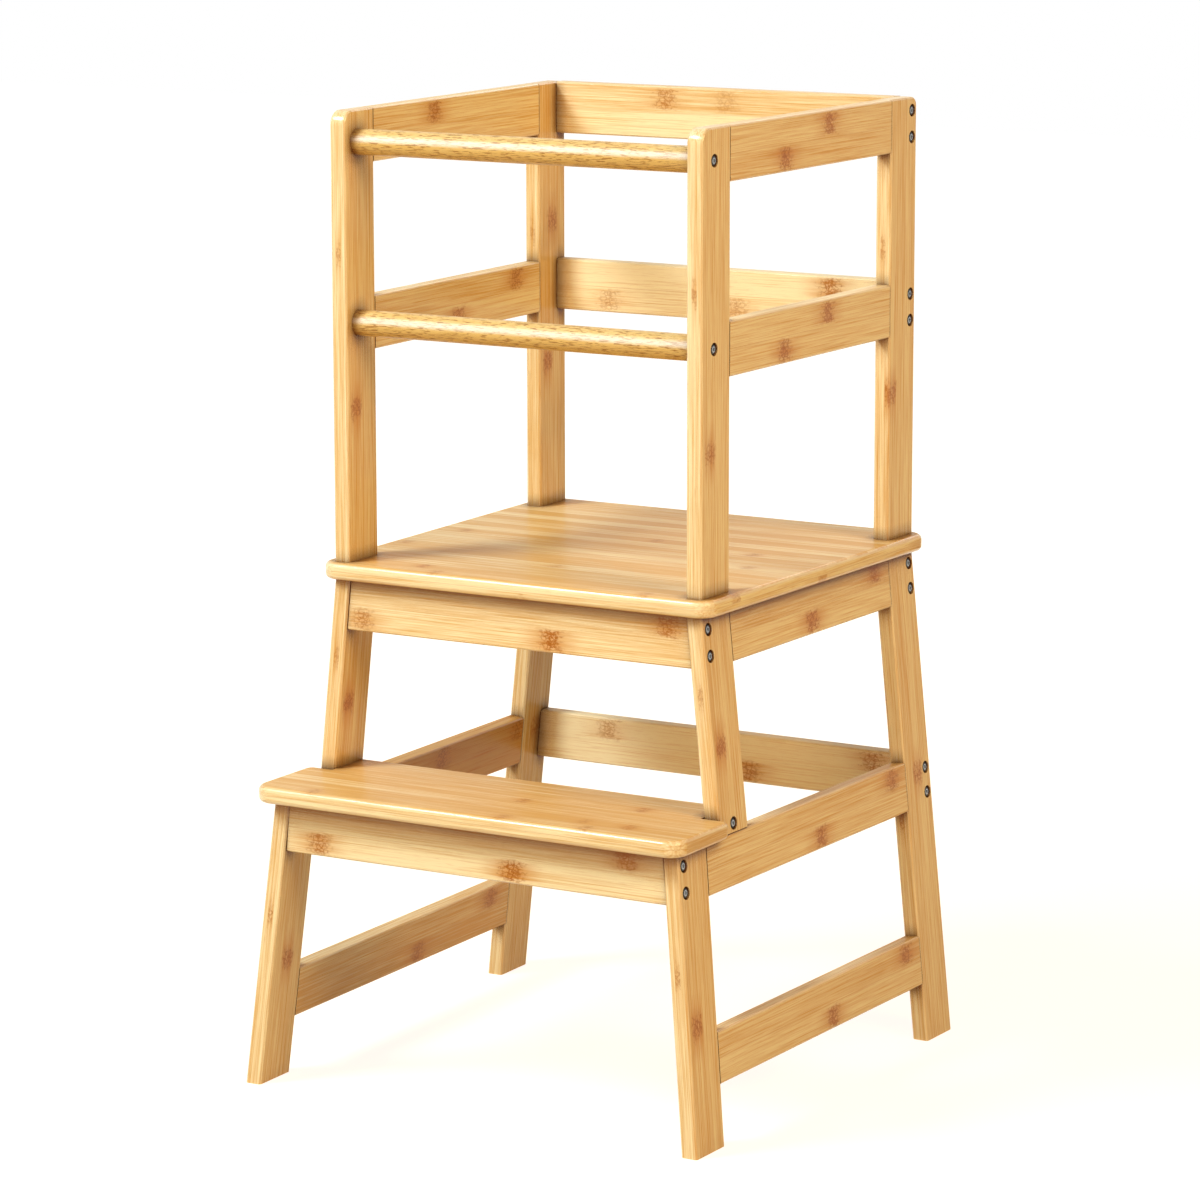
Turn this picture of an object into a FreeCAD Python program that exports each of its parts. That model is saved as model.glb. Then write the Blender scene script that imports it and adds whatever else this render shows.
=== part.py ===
import FreeCAD, Part
import math
import os

# A bamboo kitchen tower for a toddler: a guard cage stands on a platform board, above a splayed frame
# with a step in front.
# Sizes are in millimetres. Up is +Z, the child climbs in from -Y, and the floor is at zero height.
os.makedirs("parts", exist_ok=True)
Vector = FreeCAD.Vector
ORIGIN = Vector(0, 0, 0)
ALONG_X = Vector(1, 0, 0)
ALONG_Y = Vector(0, 1, 0)
ALONG_Z = Vector(0, 0, 1)

# Heights of the whole tower
total_height = 900
platform_top = 484
step_top = 287
low_stretcher_top = 103

# The middle guard rail's top edge, as a share of the guard's height, and how far each round bar's
# centre drops below the posts' tops or below that edge
guard_mid_rail_share = 0.584
top_bar_drop = 29
mid_bar_drop = 22

# Plan of the tower, which is a little narrower at the front than at the back
frame_depth = 402
front_half_width = 194
rear_half_width = 200.5
step_leg_reach = 75.5
step_board_reach = 96

# Tilts, in degrees
leg_splay = 5.9
step_leg_lean = 2.9

# Stock that the uprights and rails are sawn from
stock_thick = 16
upright_wide = 50
guard_rail_high = 50
frame_rail_high = 48
bar_diameter = 24
bar_setback = 21.5
eased_edge = 1.5

# How far the cross members stand back from the uprights' faces
front_apron_setback = 2.5
step_apron_setback = 0.5
rear_setback = 1

# Rounded top corners of the guard posts
front_post_round = 13
rear_post_round = 8

# Boards
board_thick = 16
platform_side_overhang = 12.5
platform_end_overhang = 9
step_side_overhang = 11
board_corner_round = 18
step_rear_corner_round = 9
step_ear_gap = 0.3
board_edge_round = 5
tongue_edge_round = 3

# Glued tenons that hold each side panel together
tenon_thick = 8
tenon_long = 18
tenon_shoulder = 9
tenon_fit_gap = 0.1
mortise_end_gap = 1

# Recesses in the uprights for the round heads of the joint bolts
head_recess_diameter = 12
head_recess_deep = 4.2

# How far every cut runs past the wood
overrun = 40
reach = 2000

# Where the two bolts of a rail sit, as shares of its height
bolt_height_shares = (0.25, 0.75)

# Values worked out from the sizes above
leg_top = platform_top - board_thick
guard_mid_rail_top = platform_top + (total_height - platform_top) * guard_mid_rail_share
top_bar_height = total_height - top_bar_drop
mid_bar_height = guard_mid_rail_top - mid_bar_drop
step_underside = step_top - board_thick
side_flare = math.degrees(math.atan((rear_half_width - front_half_width) / frame_depth))
splay_run = math.tan(math.radians(leg_splay))
flare_run = math.tan(math.radians(side_flare))
lean_run = math.tan(math.radians(step_leg_lean))
platform_back = frame_depth + platform_end_overhang
middle_depth = (platform_back - step_board_reach) / 2


def block(x_low, x_high, y_low, y_high, z_low, z_high):
    """A square-cornered block between the given limits."""
    return Part.makeBox(x_high - x_low, y_high - y_low, z_high - z_low, Vector(x_low, y_low, z_low))


def rod(diameter, length, start, direction):
    """A round rod that starts at a point and runs along a direction."""
    return Part.makeCylinder(diameter / 2, length, start, direction)


def edges_along(shape, direction):
    """The straight edges of a shape that run along a direction."""
    chosen = []
    for edge in shape.Edges:
        run = edge.Vertexes[-1].Point - edge.Vertexes[0].Point
        if run.Length > 0 and run.cross(direction).Length < run.Length * direction.Length / reach:
            chosen.append(edge)
    return chosen


def eased(shape, direction):
    """The shape with a small bevel planed along its long edges."""
    return shape.makeChamfer(eased_edge, edges_along(shape, direction))


def in_flat(height):
    """Distance up the splayed side panel, while it lies flat, that comes to a true height."""
    return leg_top - (leg_top - height) / math.cos(math.radians(leg_splay))


def outer_face(y, z, splayed):
    """Distance from the middle plane to the outer face of a side panel."""
    drop = leg_top - z if splayed else 0
    return front_half_width + y * flare_run + drop * splay_run


def stood_up(shape, splayed):
    """A piece of the right side panel, moved from its flat layout to its place."""
    placed = shape.copy()
    if splayed:
        placed.rotate(Vector(0, 0, leg_top), ALONG_Y, -leg_splay)
    placed.rotate(ORIGIN, ALONG_Z, -side_flare)
    placed.translate(Vector(front_half_width, 0, 0))
    return placed


def mirrored(shape):
    """The same piece for the other side of the tower."""
    return shape.mirror(ORIGIN, ALONG_X)


def level_cut(shape, z_low, z_high):
    """The shape with its ends sawn level."""
    return shape.common(block(-reach, reach, -reach, reach, z_low, z_high))


def outside(splayed):
    """Everything outside the inner faces of both side panels."""
    beyond = stood_up(block(-stock_thick, reach, -reach, reach, -reach, reach), splayed)
    return beyond.fuse(mirrored(beyond))


def plank(outline, length_direction):
    """A plank of the side panel's thickness, from an outline of (y, z) corners."""
    corners = [Vector(-stock_thick, y, z) for y, z in outline]
    face = Part.Face(Part.makePolygon(corners + corners[:1]))
    return eased(face.extrude(Vector(stock_thick, 0, 0)), length_direction)


def tenon(y_low, y_high, z_low, z_high, gap):
    """The tongue of a side panel joint, or with a gap the mortise that takes it."""
    middle = stock_thick / 2
    half = tenon_thick / 2 + gap
    return block(-middle - half, -middle + half, y_low - gap, y_high + gap, z_low - gap, z_high + gap)


def rail_tenons(y_front, y_rear, z_low, z_high, gap=0, end_gap=0):
    """The tongues at both ends of a side rail."""
    low = z_low + tenon_shoulder
    high = z_high - tenon_shoulder
    front = tenon(y_front - tenon_long - end_gap, y_front + tenon_long, low, high, gap)
    rear = tenon(y_rear - tenon_long, y_rear + tenon_long + end_gap, low, high, gap)
    return front.fuse(rear)


def mortised(shape, rails):
    """An upright with the mortises for the side rails that meet it."""
    for y_front, y_rear, z_low, z_high in rails:
        shape = shape.cut(rail_tenons(y_front, y_rear, z_low, z_high, tenon_fit_gap, mortise_end_gap))
    return shape


def side_rail(y_front, y_rear, z_low, z_high, front_run=0):
    """A rail of the side panel, whose front end may follow a leaning leg, with its tongues."""
    low_front = y_front - (z_high - z_low) * front_run
    outline = [(low_front, z_low), (y_rear, z_low), (y_rear, z_high), (y_front, z_high)]
    return plank(outline, ALONG_Y).fuse(rail_tenons(y_front, y_rear, z_low, z_high)).removeSplitter()


def drilled(shape, places):
    """An upright, lying flat, with the head recesses of the bolts that go through it."""
    for y, z in places:
        start = Vector(-head_recess_deep, y, z)
        shape = shape.cut(rod(head_recess_diameter, head_recess_deep + overrun, start, ALONG_X))
    return shape


# Where each cross member runs
def bolt_heights(z_low, high):
    """Heights of the bolts of a cross member."""
    return [z_low + high * share for share in bolt_height_shares]


guard_top_low = total_height - guard_rail_high
guard_mid_low = guard_mid_rail_top - guard_rail_high
apron_low = leg_top - frame_rail_high
mid_rail_low = step_underside - frame_rail_high
rear_rail_front = frame_depth - rear_setback - stock_thick
step_apron_front = step_apron_setback - step_leg_reach
front_bar_heights = (top_bar_height, mid_bar_height)

# name: front face, underside, height, joined to a splayed leg
cross_members = {
    "rear_rail_top": (rear_rail_front, guard_top_low, guard_rail_high, False),
    "rear_rail_mid": (rear_rail_front, guard_mid_low, guard_rail_high, False),
    "front_apron": (front_apron_setback, apron_low, frame_rail_high, True),
    "rear_apron": (rear_rail_front, apron_low, frame_rail_high, True),
    "rear_stretcher": (rear_rail_front, mid_rail_low, frame_rail_high, True),
    "step_apron": (step_apron_front, mid_rail_low, frame_rail_high, True),
}


def member_bolts(name):
    """The (y, z) positions of a cross member's bolts on a side panel that lies flat."""
    y_front, z_low, high, splayed = cross_members[name]
    heights = bolt_heights(z_low, high)
    return [(y_front + stock_thick / 2, in_flat(z) if splayed else z) for z in heights]


def cross_member(name):
    """A plank between the side panels, its ends sawn to their slant."""
    y_front, z_low, high, splayed = cross_members[name]
    beam = block(-reach, reach, y_front, y_front + stock_thick, z_low, z_low + high)
    return eased(beam, ALONG_X).cut(outside(splayed))


def front_bar(height):
    """A round bar across the front of the guard."""
    bar = rod(bar_diameter, reach + reach, Vector(-reach, bar_setback, height), ALONG_X)
    return bar.cut(outside(False))


# Guard posts and rails
guard_rails = [
    (upright_wide, frame_depth - upright_wide, guard_top_low, total_height),
    (upright_wide, frame_depth - upright_wide, guard_mid_low, guard_mid_rail_top),
]


def guard_post(y_front, round_y, corner_round, bolts):
    """A guard post with one rounded top corner, its mortises and its bolt recesses."""
    post = block(-stock_thick, 0, y_front, y_front + upright_wide, platform_top, total_height)
    top_corner = [
        edge for edge in edges_along(post, ALONG_X)
        if edge.BoundBox.ZMin > platform_top and abs(edge.BoundBox.YMin - round_y) < eased_edge
    ]
    post = eased(post.makeFillet(corner_round, top_corner), ALONG_Z)
    return stood_up(drilled(mortised(post, guard_rails), bolts), False)


def guard_front_post():
    bolts = [(bar_setback, height) for height in front_bar_heights]
    return guard_post(0, 0, front_post_round, bolts)


def guard_rear_post():
    bolts = member_bolts("rear_rail_top") + member_bolts("rear_rail_mid")
    return guard_post(frame_depth - upright_wide, frame_depth, rear_post_round, bolts)


def guard_side_rail(which):
    return stood_up(side_rail(*guard_rails[which]), False)


# The splayed lower frame
flat_step = in_flat(step_underside)
flat_floor = in_flat(0)
step_leg_back = upright_wide - step_leg_reach
flat_low_top = in_flat(low_stretcher_top)
flat_mid_low = flat_step - frame_rail_high
flat_low_low = flat_low_top - frame_rail_high
flat_apron_low = leg_top - frame_rail_high
rear_leg_front = frame_depth - upright_wide


def leaning_back(z):
    """Depth of the step leg's back face at a height in the flat layout."""
    return step_leg_back - (flat_step - z) * lean_run


side_apron_place = (upright_wide, rear_leg_front, flat_apron_low, leg_top)
mid_rail_place = (leaning_back(flat_step), rear_leg_front, flat_mid_low, flat_step)
low_stretcher_place = (leaning_back(flat_low_top), rear_leg_front, flat_low_low, flat_low_top)


def foot_tenon(gap=0, end_gap=0):
    """The tongue under the upper front leg, which goes down into the middle side rail."""
    low = flat_step - tenon_long - end_gap
    return tenon(tenon_shoulder, upright_wide - tenon_shoulder, low, flat_step + tenon_long, gap)


def step_bolt_place():
    """The bolt through the upper front leg into the edge of the step board."""
    return (upright_wide / 2, in_flat(step_underside + board_thick / 2))


def front_leg_upper():
    """The short front leg, from the platform down to the middle side rail."""
    leg = eased(block(-stock_thick, 0, 0, upright_wide, flat_step, leg_top + overrun), ALONG_Z)
    leg = mortised(leg, [side_apron_place]).fuse(foot_tenon())
    leg = drilled(leg, member_bolts("front_apron") + [step_bolt_place()])
    return level_cut(stood_up(leg, True), 0, leg_top)


def rear_leg():
    """The long rear leg, from the platform to the floor."""
    leg = block(-stock_thick, 0, rear_leg_front, frame_depth, flat_floor - overrun, leg_top + overrun)
    leg = mortised(eased(leg, ALONG_Z), [side_apron_place, mid_rail_place, low_stretcher_place])
    leg = drilled(leg, member_bolts("rear_apron") + member_bolts("rear_stretcher"))
    return level_cut(stood_up(leg, True), 0, leg_top)


def step_leg():
    """The leaning front leg under the step board."""
    z_high = flat_step + overrun
    z_low = flat_floor - overrun
    back_high = leaning_back(z_high)
    back_low = leaning_back(z_low)
    outline = [
        (back_low - upright_wide, z_low), (back_low, z_low),
        (back_high, z_high), (back_high - upright_wide, z_high),
    ]
    leg = plank(outline, Vector(0, back_high - back_low, z_high - z_low))
    leg = drilled(mortised(leg, [mid_rail_place, low_stretcher_place]), member_bolts("step_apron"))
    return level_cut(stood_up(leg, True), 0, step_underside)


def side_apron():
    """The side rail under the platform, sawn level where it meets the board."""
    y_front, y_rear, z_low, z_high = side_apron_place
    z_over = z_high + overrun
    body = plank([(y_front, z_low), (y_rear, z_low), (y_rear, z_over), (y_front, z_over)], ALONG_Y)
    return level_cut(stood_up(body.fuse(rail_tenons(*side_apron_place)), True), 0, leg_top)


def mid_side_rail():
    """The side rail at step height, which carries the foot of the upper front leg."""
    rail = side_rail(*mid_rail_place, lean_run).cut(foot_tenon(tenon_fit_gap, mortise_end_gap))
    return stood_up(rail, True)


def low_side_stretcher():
    return stood_up(side_rail(*low_stretcher_place, lean_run), True)


# Boards
def rounded_board(outline, corner_rounds, z_low):
    """A board from (x, y) corners, with rounded corners and softly rounded top and bottom edges."""
    corners = [Vector(x, y, z_low) for x, y in outline]
    board = Part.Face(Part.makePolygon(corners + corners[:1])).extrude(ALONG_Z * board_thick)
    for corner, corner_round in zip(corners, corner_rounds):
        uprights = edges_along(board, ALONG_Z)
        board = board.makeFillet(corner_round, [edge for edge in uprights if edge.BoundBox.isInside(corner)])
    rims = [edge for edge in board.Edges if edge.BoundBox.ZLength < eased_edge]
    return board.makeFillet(board_edge_round, rims)


def platform_board():
    """The board the child stands on."""
    half_front = outer_face(-platform_end_overhang, leg_top, False) + platform_side_overhang
    half_back = outer_face(platform_back, leg_top, False) + platform_side_overhang
    outline = [
        (-half_front, -platform_end_overhang), (half_front, -platform_end_overhang),
        (half_back, platform_back), (-half_back, platform_back),
    ]
    return rounded_board(outline, [board_corner_round] * len(outline), leg_top)


def step_board():
    """The step: a wide tread with a tongue that reaches back between the upper front legs."""
    half = outer_face(0, step_underside, True) + step_side_overhang
    ear_back = -step_ear_gap
    outline = [(-half, -step_board_reach), (half, -step_board_reach), (half, ear_back), (-half, ear_back)]
    rounds = [board_corner_round, board_corner_round, step_rear_corner_round, step_rear_corner_round]
    tread = rounded_board(outline, rounds, step_underside)
    tongue = block(-reach, reach, -step_board_reach / 2, upright_wide, step_underside, step_top)
    back = [edge for edge in edges_along(tongue, ALONG_X) if edge.BoundBox.YMin > 0]
    tongue = tongue.makeFillet(tongue_edge_round, back).cut(outside(True))
    return tread.fuse(tongue).removeSplitter()


def build():
    """Every sub-part of the tower by name."""
    parts = {name: cross_member(name) for name in cross_members}
    pairs = {
        "guard_post_front": guard_front_post(),
        "guard_post_rear": guard_rear_post(),
        "guard_side_rail_top": guard_side_rail(0),
        "guard_side_rail_mid": guard_side_rail(1),
        "front_leg_upper": front_leg_upper(),
        "step_leg": step_leg(),
        "rear_leg": rear_leg(),
        "side_apron": side_apron(),
        "mid_side_rail": mid_side_rail(),
        "low_side_stretcher": low_side_stretcher(),
    }
    for name, piece in pairs.items():
        parts[name + "_right"] = piece
        parts[name + "_left"] = mirrored(piece)
    parts["front_bar_top"] = front_bar(top_bar_height)
    parts["front_bar_mid"] = front_bar(mid_bar_height)
    parts["platform_board"] = platform_board()
    parts["step_board"] = step_board()
    return parts


for name, shape in build().items():
    shape.translate(Vector(0, -middle_depth, 0))
    shape.exportStep("parts/" + name + ".step")
    print(name, "solids", len(shape.Solids), "valid", shape.isValid())
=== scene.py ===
# %% [markdown]
# # A bamboo kitchen tower for a toddler
# This lesson dresses a ready-made tower: thirty wooden pieces come in from the frame, each in its place. We
# give each plank a bamboo of its own, with grain that runs along it, and the round bars a golden wood. Then
# we add the joint bolts, and light the tower like a picture in a shop. Everything is in metres, up is +Z,
# and a child climbs in from -Y.
# %% Load the tower
import math

import bmesh
import bpy
from mathutils import Matrix, Vector


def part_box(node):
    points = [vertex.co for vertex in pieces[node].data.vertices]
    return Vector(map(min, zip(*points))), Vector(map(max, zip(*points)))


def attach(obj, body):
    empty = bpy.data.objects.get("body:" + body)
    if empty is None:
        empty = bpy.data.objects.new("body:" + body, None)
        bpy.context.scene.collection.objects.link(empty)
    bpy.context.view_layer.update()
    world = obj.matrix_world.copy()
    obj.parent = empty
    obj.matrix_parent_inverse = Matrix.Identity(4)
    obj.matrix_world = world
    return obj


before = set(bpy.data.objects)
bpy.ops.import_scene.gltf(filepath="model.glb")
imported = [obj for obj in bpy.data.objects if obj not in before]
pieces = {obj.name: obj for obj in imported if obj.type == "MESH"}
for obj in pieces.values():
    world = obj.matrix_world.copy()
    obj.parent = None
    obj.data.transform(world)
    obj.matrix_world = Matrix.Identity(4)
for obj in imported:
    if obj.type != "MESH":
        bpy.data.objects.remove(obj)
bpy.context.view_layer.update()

# %% [markdown]
# ## How each piece lies
# Bamboo is a grass, and its fibres run straight along the stem, so every slat and every plank shows streaks
# along its length. A texture that followed the room's axes would run askew on the leaning legs. Each piece
# therefore gets axes of its own: along the grain, across its wide face, and through its thickness. The side
# panels lean in two ways, which we repeat here as turns.
# %% Turns of the side panels
LEG_SPLAY = math.radians(5.9)
SIDE_FLARE = math.radians(0.926)
STEP_LEG_LEAN = math.radians(2.9)
LOWER_PIECES = ("front_leg", "rear_leg", "step_leg", "side_apron", "mid_side_rail", "low_side")


def side_of(name):
    """-1 for a piece of the left side panel, 1 for the right one, 0 for a piece between them."""
    return {"left": -1, "right": 1}.get(name.rsplit("_", 1)[-1], 0)


def panel_turn(side, splayed):
    """The turn that stands a flat side panel up in its place."""
    splay = Matrix.Rotation(-LEG_SPLAY * side, 3, "Y") if splayed else Matrix.Identity(3)
    return Matrix.Rotation(-SIDE_FLARE * side, 3, "Z") @ splay


def grain_axes(name):
    """Unit vectors along the grain and across the wide face of a piece."""
    side = side_of(name)
    if not side:
        across = Vector((0, 1, 0)) if name.endswith("board") else Vector((0, 0, 1))
        return Vector((1, 0, 0)), across
    turn = panel_turn(side, name.startswith(LOWER_PIECES))
    along, across = Vector((0, 1, 0)), Vector((0, 0, 1))
    if "post" in name or "leg" in name:
        lean = STEP_LEG_LEAN if name.startswith("step_leg") else 0
        along = Vector((0, math.sin(lean), math.cos(lean)))
        across = Vector((0, math.cos(lean), -math.sin(lean)))
    return turn @ along, turn @ across


print("rear leg grain:", [round(v, 3) for v in grain_axes("rear_leg_right")[0]])

# %% [markdown]
# ## Measure each piece along its own axes
# The piece's corners, measured along its three axes, give its length, width and thickness. The texture then
# starts at one corner of the piece, so the place of a mark can be written as a share of the length.
# %% Measure a piece
def lie_of(name):
    """How a piece lies: a matrix with its axes and low corner, and its length, width and thickness."""
    along, across = grain_axes(name)
    through = along.cross(across)
    reaches = []
    for axis in (along, across, through):
        spots = [vertex.co.dot(axis) for vertex in pieces[name].data.vertices]
        reaches.append((min(spots), max(spots)))
    turn = Matrix((along, across, through)).transposed()
    corner = turn @ Vector([low for low, high in reaches])
    return turn, corner, Vector([high - low for low, high in reaches])


for name in ("guard_post_front_left", "step_leg_right", "platform_board"):
    print(name, [round(v * 1000) for v in lie_of(name)[2]], "mm")

# %% [markdown]
# ## Writing shader nodes in short lines
# A shader is a network of small steps. Clicking them together is fine for one material, but thirty pieces
# want the same network with other numbers, so we write it in code. This helper adds a node and plugs in its
# inputs, which may be plain values or the outputs of other nodes.
# %% A bench for shader nodes
class Bench:
    """Adds nodes to one node tree, each in a single line."""

    def __init__(self, tree):
        self.tree = tree

    def add(self, kind, inputs=(), **settings):
        """A node with its settings made and its inputs plugged in or filled in."""
        node = self.tree.nodes.new(kind)
        for name, value in settings.items():
            setattr(node, name, value)
        for key, value in dict(inputs).items():
            if isinstance(value, bpy.types.NodeSocket):
                self.tree.links.new(value, node.inputs[key])
            else:
                node.inputs[key].default_value = value
        return node

    def maths(self, operation, *values):
        """One step of arithmetic, such as a sum or a product."""
        return self.add("ShaderNodeMath", enumerate(values), operation=operation).outputs[0]

    def vector(self, operation, *values):
        """One step of arithmetic with places, which have three parts each."""
        node = self.add("ShaderNodeVectorMath", enumerate(values), operation=operation)
        return node.outputs["Value" if operation in ("LENGTH", "DOT_PRODUCT") else "Vector"]

    def split(self, place):
        """The three parts of a place."""
        return self.add("ShaderNodeSeparateXYZ", {0: place}).outputs


print("bench ready:", Bench.add.__doc__)

# %% [markdown]
# Most of a finish is made of a few moves: to fade from one value to another, to blend two colours, and to
# let a noise push a value up and down. The usual Noise Texture has round cells, so we stretch the place that
# goes into it, and its cells are drawn out along the grain.
# %% Fades, blends and noise
class FinishBench(Bench):
    """A bench that also knows the moves of a finish."""

    def fade(self, value, start, end, first=0.0, last=1.0):
        """Goes softly from first to last while the value goes from start to end."""
        inputs = enumerate((value, start, end, first, last))
        return self.add("ShaderNodeMapRange", inputs, interpolation_type="SMOOTHSTEP").outputs[0]

    def fall(self, value, start, end):
        """1 near zero, and softly down to 0 between two distances on either side of it."""
        return self.fade(self.maths("ABSOLUTE", value), start, end, 1, 0)

    def vary(self, value, noise, amount):
        """The value, pushed up or down as far as a noise is off its middle."""
        return self.maths("ADD", value, self.maths("MULTIPLY", self.maths("SUBTRACT", noise, 0.5), amount))

    def blend(self, share, first, second):
        """A colour between two colours."""
        inputs = {0: share, 6: first, 7: second}
        return self.add("ShaderNodeMix", inputs, data_type="RGBA").outputs[2]

    def tint(self, share, strength, first, second):
        """The first colour, with the second laid over it where there is a share, at a strength."""
        return self.blend(self.maths("MULTIPLY", share, strength), first, second)

    def choose(self, share, first, second):
        """One of two places, or a place between them."""
        inputs = {0: share, 4: first, 5: second}
        return self.add("ShaderNodeMix", inputs, data_type="VECTOR").outputs[1]

    def noise(self, place, stretch, detail=2.0, distortion=0.0):
        """Noise with a number of cells to the metre along, across and through the piece."""
        drawn = self.vector("MULTIPLY", place, stretch)
        inputs = {"Vector": drawn, "Scale": 1.0, "Detail": detail, "Distortion": distortion}
        return self.add("ShaderNodeTexNoise", inputs).outputs["Fac"]


print("moves:", [name for name in vars(FinishBench) if not name.startswith("_")])

# %% [markdown]
# ## Colours and node groups
# A colour is usually written as six figures, the way a screen shows it. A shader counts light instead, so the
# figures are changed to light first. A node group packs a network away behind a few sockets, and every
# material can then use it.
# %% Colours and groups
def colour(code):
    """A colour for a shader from the usual six-figure web code."""
    parts = [int(code[i:i + 2], 16) / 255 for i in (0, 2, 4)]
    return [p / 12.92 if p < 0.04045 else ((p + 0.055) / 1.055) ** 2.4 for p in parts] + [1.0]


def new_group(name, inputs, outputs):
    """An empty node group with the given sockets, a bench for it, and its way in and way out."""
    tree = bpy.data.node_groups.new(name, "ShaderNodeTree")
    for kind, sockets in (("INPUT", inputs), ("OUTPUT", outputs)):
        for label, socket in sockets.items():
            tree.interface.new_socket(label, in_out=kind, socket_type="NodeSocket" + socket)
    bench = FinishBench(tree)
    return bench, bench.add("NodeGroupInput").outputs, bench.add("NodeGroupOutput").inputs


print("the middle grey of a screen, as light:", round(colour("808080")[0], 3))

# %% [markdown]
# ## Painted shade in the hollows
# Where two pieces meet, less light gets in, and right under a board the wood lies in shade. That shade is
# painted into the colour, as a brown. We could paint such places by hand, but the ambient occlusion node
# finds them by itself, on any piece: it tells how much of the sky a spot can see within a short way. We use
# it twice. With its view pulled upwards it finds what lies under an overhang, and with a short view straight
# out it finds the seams. The feet are spared, because the white paper below throws light back at them.
# %% Paint shade into the corners
SHADE_BROWN, SEAM_SHADE_BROWN = colour("8A4206"), colour("4E2406")
SHADE_REACH, SEAM_REACH = 0.034, 0.014
SHADE_SKY, SEAM_SKY = (0.42, 0.71), (0.46, 0.88)
DEEPEST_SHADE = 0.92
PULLED_UP = (0, 0, 0.7)
FEET_CLEAR = 0.05
SKY_RAYS = 3


def paint_shade(bench, wood, brown, reach, towards, sky_range, off_floor):
    """The colour of the wood with painted shade: nearer to a brown where little of the sky is seen."""
    inputs = {"Distance": reach, "Normal": towards}
    sky = bench.add("ShaderNodeAmbientOcclusion", inputs, samples=SKY_RAYS).outputs["AO"]
    return bench.tint(bench.fade(sky, *sky_range, DEEPEST_SHADE, 0), off_floor, wood, brown)


def paint_shade_in_hollows(bench, wood):
    """The colour of the wood with painted shade: browner under an overhang and close to other pieces."""
    spot = bench.add("ShaderNodeNewGeometry").outputs
    off_floor = bench.fade(bench.split(spot["Position"])[2], 0.0, FEET_CLEAR)
    upwards = bench.vector("NORMALIZE", bench.vector("ADD", spot["Normal"], PULLED_UP))
    wood = paint_shade(bench, wood, SHADE_BROWN, SHADE_REACH, upwards, SHADE_SKY, off_floor)
    return paint_shade(bench, wood, SEAM_SHADE_BROWN, SEAM_REACH, spot["Normal"], SEAM_SKY, off_floor)


print("shade reaches", SHADE_REACH * 1000, "mm, seams", SEAM_REACH * 1000, "mm")

# %% [markdown]
# ## The knuckle marks of bamboo
# A bamboo stem has a ring every hand or so. When the stem is split into slats, each ring shows as a rusty
# knot of short wavy lines across one slat, with a soft amber stain along the grain. We could scatter such
# marks with a cell texture, but they would then cross the glue lines. So each mark is placed on one slat, one
# by one. The group below is one mark, and the marks of a piece are chained through it. It measures how far a
# spot is from the mark's centre, in half lengths and half widths of the mark, and gives three things that
# fade with that distance: a thin spine, the core with the lines, and the wide stain.
# %% One knuckle mark
RAGGED_STRETCH = (110, 420, 420)
RAGGED_EDGE = 0.6
SWAY = 2.6
WIDTH_FADE, LAYER_FADE = (0.8, 1.3), (0.82, 1.05)
SPINE_FADE, CORE_FADE, STAIN_FADE = (0.02, 0.22), (0.2, 1.5), (0.2, 3.6)

bench, way_in, way_out = new_group(
    "knuckle mark",
    {"Place": "Vector", "Centre": "Vector", "Reach": "Vector", "Strength": "Float",
     "Spine": "Float", "Core": "Float", "Stain": "Float"},
    {"Spine": "Float", "Core": "Float", "Stain": "Float"},
)
ragged = bench.noise(way_in["Place"], RAGGED_STRETCH, 3)
away = bench.vector("DIVIDE", bench.vector("SUBTRACT", way_in["Place"], way_in["Centre"]), way_in["Reach"])
along, across, through = bench.split(away)
edge = bench.maths("ADD", bench.maths("ABSOLUTE", across), bench.maths("MULTIPLY", ragged, RAGGED_EDGE))
on_slat = bench.maths("MULTIPLY", bench.fall(edge, *WIDTH_FADE), bench.fall(through, *LAYER_FADE))
on_slat = bench.maths("MULTIPLY", on_slat, way_in["Strength"])
swayed = bench.vary(along, ragged, SWAY)
marks = {
    "Spine": bench.fall(swayed, *SPINE_FADE),
    "Core": bench.fall(swayed, *CORE_FADE),
    "Stain": bench.fall(along, *STAIN_FADE),
}
for label, mark in marks.items():
    shown = bench.maths("MULTIPLY", mark, on_slat)
    bench.tree.links.new(bench.maths("MAXIMUM", shown, way_in[label]), way_out[label])
knuckle_mark = bench.tree
print("knuckle mark nodes:", len(knuckle_mark.nodes))

# %% [markdown]
# ## The bamboo itself
# Laminated bamboo is glued from slats. The faces and the long edges of a plank show their streaks lengthwise,
# and on the rounded ends of the boards the streaks run on round the corner. A pattern that is only drawn out
# along the piece would turn to dots there. So on a face that looks along the piece we swap the places: what
# is measured along the piece elsewhere is measured across it, on from the corner.
# %% Turn the grain at the ends
BEYOND_ENDS = 1.0
END_FACING = 0.71

bench, way_in, way_out = new_group(
    "laminated bamboo",
    {"Place": "Vector", "Along": "Vector", "Length": "Float", "Slat": "Vector", "Tone": "Float",
     "Contrast": "Float", "Seed": "Float", "Spine": "Float", "Core": "Float", "Stain": "Float"},
    {"Colour": "Color", "Roughness": "Float", "Height": "Float"},
)
normal = bench.add("ShaderNodeNewGeometry").outputs["Normal"]
facing = bench.maths("ABSOLUTE", bench.vector("DOT_PRODUCT", normal, way_in["Along"]))
at_end = bench.maths("GREATER_THAN", facing, END_FACING)
x, y, z = bench.split(way_in["Place"])
from_low = bench.maths("SUBTRACT", x, BEYOND_ENDS)
from_high = bench.maths("SUBTRACT", way_in["Length"], from_low)
at_high = bench.maths("GREATER_THAN", from_low, from_high)
back = bench.maths("SUBTRACT", way_in["Length"], bench.maths("MULTIPLY", y, 2.0))
round_end = bench.maths("ADD", bench.maths("ADD", y, bench.maths("MULTIPLY", at_high, back)), BEYOND_ENDS)
turned = {0: round_end, 1: bench.maths("MINIMUM", from_low, from_high), 2: z}
turned = bench.add("ShaderNodeCombineXYZ", turned).outputs[0]
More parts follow.
